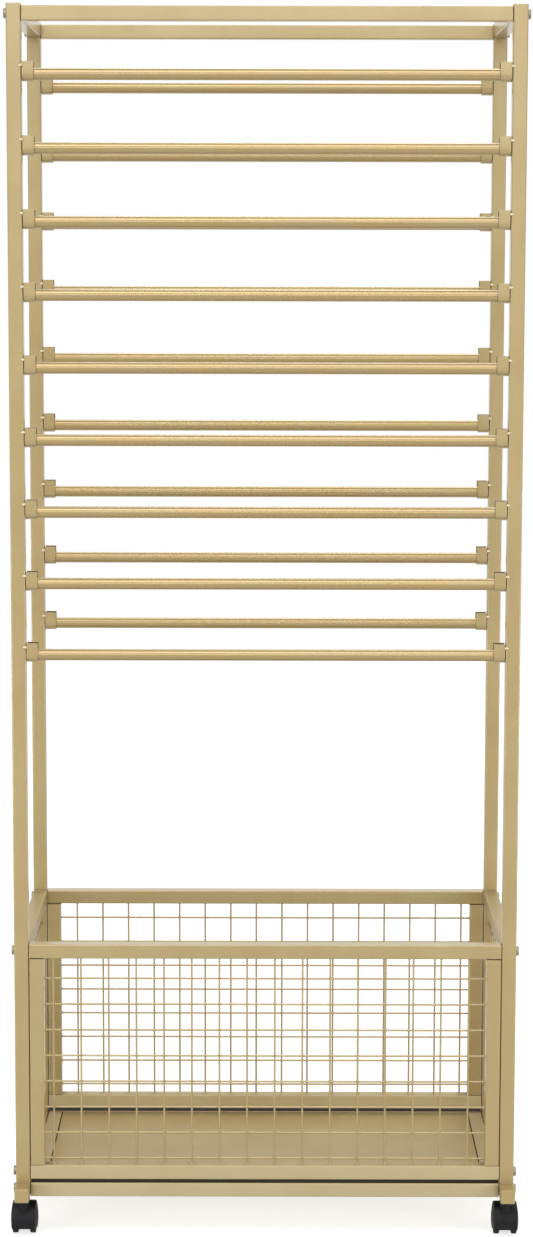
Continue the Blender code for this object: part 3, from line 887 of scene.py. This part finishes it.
def web_rings():
    """The web between the wheels: two rounded outlines and the flat block between them."""
    low = hood_front_edge - hub_height
    outline = []
    start = math.asin(low / web_radius)
    end = math.acos(-web_rear / web_radius)
    for step in range(hood_steps + 1):
        angle = start + (end - start) * step / hood_steps
        outline.append((-web_radius * math.cos(angle), web_radius * math.sin(angle)))
    outline.append((web_rear, low))
    rings = []
    for x in (-web_half, web_half):
        rings.append([Vector((x, y, z)) for y, z in outline])
    return rings


def turned_about_axle(profile):
    """Rings of a shape turned about the axle, from (radius, x) pairs."""
    rings = []
    for radius, x in profile:
        circle = circle_ring(radius, 0, axle_steps)
        rings.append([Vector((x, point.x, point.y)) for point in circle])
    return rings


wheel_outer = wheel_inner + tread_width
wheel_profile = [
    (axle_radius + axle_clearance, wheel_inner), (0.0110, wheel_inner),
    (0.0112, wheel_inner + 0.0003), (0.0128, wheel_inner + 0.0003), (0.0130, wheel_inner),
    (wheel_radius - 0.0010, wheel_inner), (wheel_radius - 0.0003, wheel_inner + 0.0003),
    (wheel_radius, wheel_inner + 0.0010), (wheel_radius, wheel_outer - 0.0010),
    (wheel_radius - 0.0003, wheel_outer - 0.0003), (wheel_radius - 0.0010, wheel_outer),
    (0.0120, wheel_outer), (0.0118, wheel_outer - 0.0004), (cap_radius, wheel_outer - 0.0004),
    (0.0090, wheel_outer - 0.0004),
]
cap_profile = [
    (0.0090, wheel_outer - 0.0012), (cap_radius, wheel_outer - 0.0012),
    (cap_radius, cap_face - 0.0013), (cap_radius - 0.0002, cap_face - 0.0010),
    (cap_radius - 0.0008, cap_face - 0.00078), (0.0094, cap_face - 0.00058),
    (0.0092, cap_face - 0.00100), (0.0086, cap_face - 0.00100), (0.0084, cap_face - 0.00046),
    (0.0066, cap_face - 0.00028), (0.0045, cap_face - 0.00012), (0.0032, cap_face - 0.00006),
    (0.0030, cap_face - 0.0005), (0.0006, cap_face - 0.0006),
]
stem_profile = [
    (0.0033, 0.0240), (0.0035, 0.0243), (0.0035, 0.0446), (0.0070, 0.0446), (0.0075, 0.0449),
    (0.0075, 0.0458), (0.0071, 0.0462), (0.0035, 0.0462), (0.0035, 0.0580), (0.0031, 0.0584),
]
boss_profile = [
    (0.0056, 0.0250), (0.0062, 0.0256), (0.0062, 0.0330), (boss_radius, 0.0342),
    (boss_radius, 0.0436), (boss_radius - 0.0002, 0.0440),
    (boss_radius - 0.0006, 0.0443), (0.0046, 0.0443), (0.0042, 0.0439),
]
caster_trail = 0.009
for face, side, y_sign, x_sign in corners:
    where = face + "_" + side
    turn = Matrix.Rotation(0 if face == "front" else math.pi, 4, "Z")
    swivel = Matrix.Translation((x_sign * post_x, y_sign * post_y, 0)) @ turn
    hub = swivel @ Matrix.Translation((0, caster_trail, hub_height))

    stem = bmesh.new()
    skin(stem, [circle_ring(*point, turned_steps) for point in stem_profile], swivel)
    node = "caster_stem_" + where
    add_piece(
        node + "_turned", stem, zinc_steel, stands_for=[node], sharp=turned_sharp
    )

    hood = bmesh.new()
    thick_sheet(hood, hood_skin(False), hood_skin(True), hub)
    skin(hood, web_rings(), hub)
    round_edges(hood, hood_edge, sharper_than=hood_sharp)
    skin(hood, [circle_ring(*point, turned_steps) for point in boss_profile], swivel)
    node = "caster_body_" + where
    body = "caster_" + where
    add_piece(
        node + "_moulded", hood, charcoal_plastic, body, [node], moulded_sharp
    )

    axle = bmesh.new()
    low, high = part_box("caster_axle_" + where)
    reach = (high.x - low.x) / 2
    pin = [(axle_radius - axle_chamfer, -reach), (axle_radius, axle_chamfer - reach)]
    pin += [(axle_radius, reach - axle_chamfer), (axle_radius - axle_chamfer, reach)]
    skin(axle, turned_about_axle(pin), hub)
    node = "caster_axle_" + where
    add_piece(node + "_pin", axle, zinc_steel, body, [node], turned_sharp)

    for wheel_side, wheel_sign in (("left", -1), ("right", 1)):
        node = "caster_wheel_" + where + "_" + wheel_side
        body = "wheel_" + where + "_" + wheel_side
        outward = Matrix.Diagonal((wheel_sign if face == "front" else -wheel_sign, 1, 1, 1))
        wheel = bmesh.new()
        skin(wheel, turned_about_axle(wheel_profile), hub @ outward)
        add_piece(node + "_tread", wheel, tyre_plastic, body, [node], turned_sharp)
        cap = bmesh.new()
        skin(cap, turned_about_axle(cap_profile), hub @ outward)
        add_piece(
            node + "_cap", cap, charcoal_plastic, body, sharp=turned_sharp
        )


# Floor and studio: a plain pale floor that keeps a soft shadow, a white surround, large soft
# lamps above, in front and behind, and two small ones low down on either side. The floor glows
# a little where the camera sees it, and less where a tube mirrors it.
floor_half = 8
floor_grey = (0.67, 0.67, 0.67, 1)
floor_glow = 0.74
floor_glow_mirrored = 0.42
white = (1, 1, 1, 1)
surround_light = 0.40
surround_seen = 1.0
bpy.ops.mesh.primitive_grid_add(x_subdivisions=2, y_subdivisions=2, size=2 * floor_half)
studio_floor = bpy.context.object
studio_floor.name = "studio_floor"


def seen_directly(tree):
    """1 for what the camera, a reflection or a clear piece shows of the surround, otherwise 0."""
    path = tree.nodes.new("ShaderNodeLightPath")
    total = path.outputs["Is Camera Ray"]
    for other in ("Is Glossy Ray", "Is Transmission Ray"):
        add = tree.nodes.new("ShaderNodeMath")
        add.operation = "MAXIMUM"
        tree.links.new(total, add.inputs[0])
        tree.links.new(path.outputs[other], add.inputs[1])
        total = add.outputs[0]
    return total


floor_paint = bpy.data.materials.new("pale_floor")
floor_paint.use_nodes = True
tree = floor_paint.node_tree
tree.nodes.remove(tree.nodes["Principled BSDF"])
matt = socket_values(tree.nodes.new("ShaderNodeBsdfDiffuse"), {"Color": floor_grey})
glow = socket_values(tree.nodes.new("ShaderNodeEmission"), {"Color": white})
path = tree.nodes.new("ShaderNodeLightPath")
mirrored = spread(tree, seen_directly(tree), 0, 1, 0, floor_glow_mirrored)
shown = spread(tree, path.outputs["Is Camera Ray"], 0, 1, 0, floor_glow - floor_glow_mirrored)
lift = tree.nodes.new("ShaderNodeMath")
tree.links.new(mirrored, lift.inputs[0])
tree.links.new(shown, lift.inputs[1])
tree.links.new(lift.outputs[0], glow.inputs["Strength"])
both = tree.nodes.new("ShaderNodeAddShader")
tree.links.new(matt.outputs[0], both.inputs[0])
tree.links.new(glow.outputs[0], both.inputs[1])
tree.links.new(both.outputs[0], tree.nodes["Material Output"].inputs["Surface"])
studio_floor.data.materials.append(floor_paint)

world = bpy.data.worlds.new("studio")
bpy.context.scene.world = world
world.use_nodes = True
tree = world.node_tree
surround = tree.nodes["Background"]
surround.inputs["Color"].default_value = white
level = spread(tree, seen_directly(tree), 0, 1, surround_light, surround_seen)
tree.links.new(level, surround.inputs["Strength"])


def soft_lamp(name, place, target, width, height, power):
    """A large rectangular lamp turned toward a point."""
    light = bpy.data.lights.new(name, "AREA")
    light.shape = "RECTANGLE"
    light.size = width
    light.size_y = height
    light.energy = power
    lamp = bpy.data.objects.new(name, light)
    bpy.context.scene.collection.objects.link(lamp)
    lamp.location = place
    lamp.rotation_euler = (Vector(target) - Vector(place)).to_track_quat("-Z", "Y").to_euler()


soft_lamp("lamp_above", (-0.4, -2.6, 4.6), (0, 0, 0.8), 3.0, 1.7, 66)
soft_lamp("lamp_front", (0, -5.2, 2.3), (0, 0, 0.9), 3.6, 1.5, 40)
soft_lamp("lamp_low_left", (-1.4, -1.2, 0.40), (-0.2, 0, 0.1), 0.8, 0.4, 7.0)
soft_lamp("lamp_low_right", (1.4, -1.2, 0.40), (0.2, 0, 0.1), 0.8, 0.4, 7.0)
soft_lamp("lamp_rear", (0.6, 2.6, 4.2), (0, 0, 0.8), 2.4, 2.4, 50)


# Camera: level with the upper part of the organizer, tilted down a little, as the photograph
# was taken. The picture is 533 by 1237 pixels and the lens is given in those pixels.
picture_height = 1237
focal_pixels = 2927
camera_place = (0.001, -3.305, 1.098)
camera_tilt = 7.225
camera_turn = 0.006
camera_roll = 0.118
lens = bpy.data.cameras.new("camera")
lens.sensor_fit = "VERTICAL"
lens.sensor_height = 24
lens.lens = focal_pixels * lens.sensor_height / picture_height
camera = bpy.data.objects.new("camera", lens)
bpy.context.scene.collection.objects.link(camera)
turned = Matrix.Rotation(math.radians(camera_turn), 4, "Z")
tilted = Matrix.Rotation(math.radians(90 - camera_tilt), 4, "X")
rolled = Matrix.Rotation(math.radians(camera_roll), 4, "Z")
camera.matrix_world = Matrix.Translation(camera_place) @ turned @ tilted @ rolled
bpy.context.scene.camera = camera
bpy.context.scene.view_settings.view_transform = "Standard"
